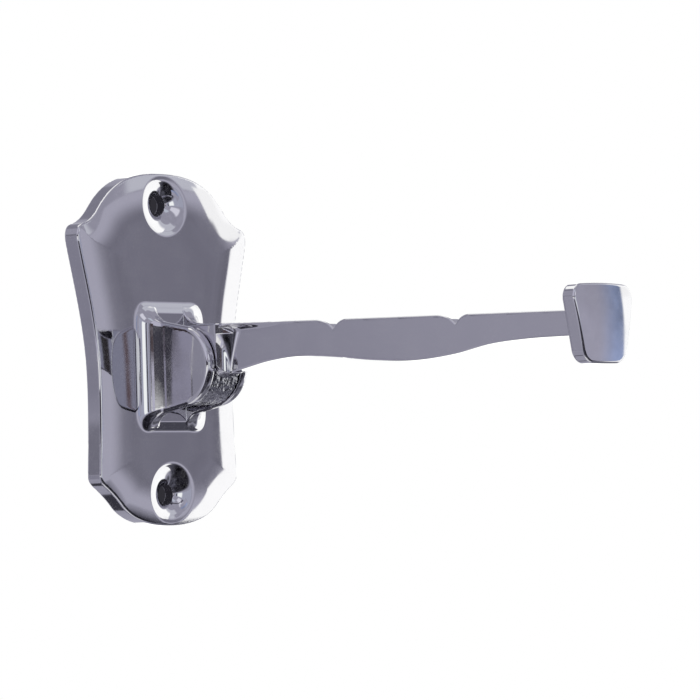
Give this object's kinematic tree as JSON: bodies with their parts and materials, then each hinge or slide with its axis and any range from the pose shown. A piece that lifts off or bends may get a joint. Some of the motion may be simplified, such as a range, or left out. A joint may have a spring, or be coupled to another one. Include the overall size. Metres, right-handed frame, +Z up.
{
  "type": "folding coat hook",
  "caption": "Wall-mounted folding coat hook: shield-shaped plate with ears and a notched arm with an end block that pivots up flat against the wall.",
  "frame": {"origin": "middle of the plate's flat back face, where it meets the wall", "axes": "+Z up, +Y into the wall, the arm points along -Y at rest, X across the plate"},
  "size_m": [0.0588, 0.14, 0.085],
  "materials": {
    "plate_chrome": "polished chrome plating on a casting",
    "arm_chrome": "polished chrome plating, rough cast between the ears",
    "pin_steel": "turned rod, ends polished flush and plated"
  },
  "bodies": {
    "wall_plate": {"backplate": "plate_chrome", "pivot_pin": "pin_steel"},
    "hook_arm": {"arm": "arm_chrome"}
  },
  "joints": [
    {"name": "arm_fold", "type": "hinge", "parent": "wall_plate", "child": "hook_arm", "pos_m": [0, -0.015, -0.0034], "axis": [-1, 0, 0], "range_deg": [0, 90]}
  ]
}
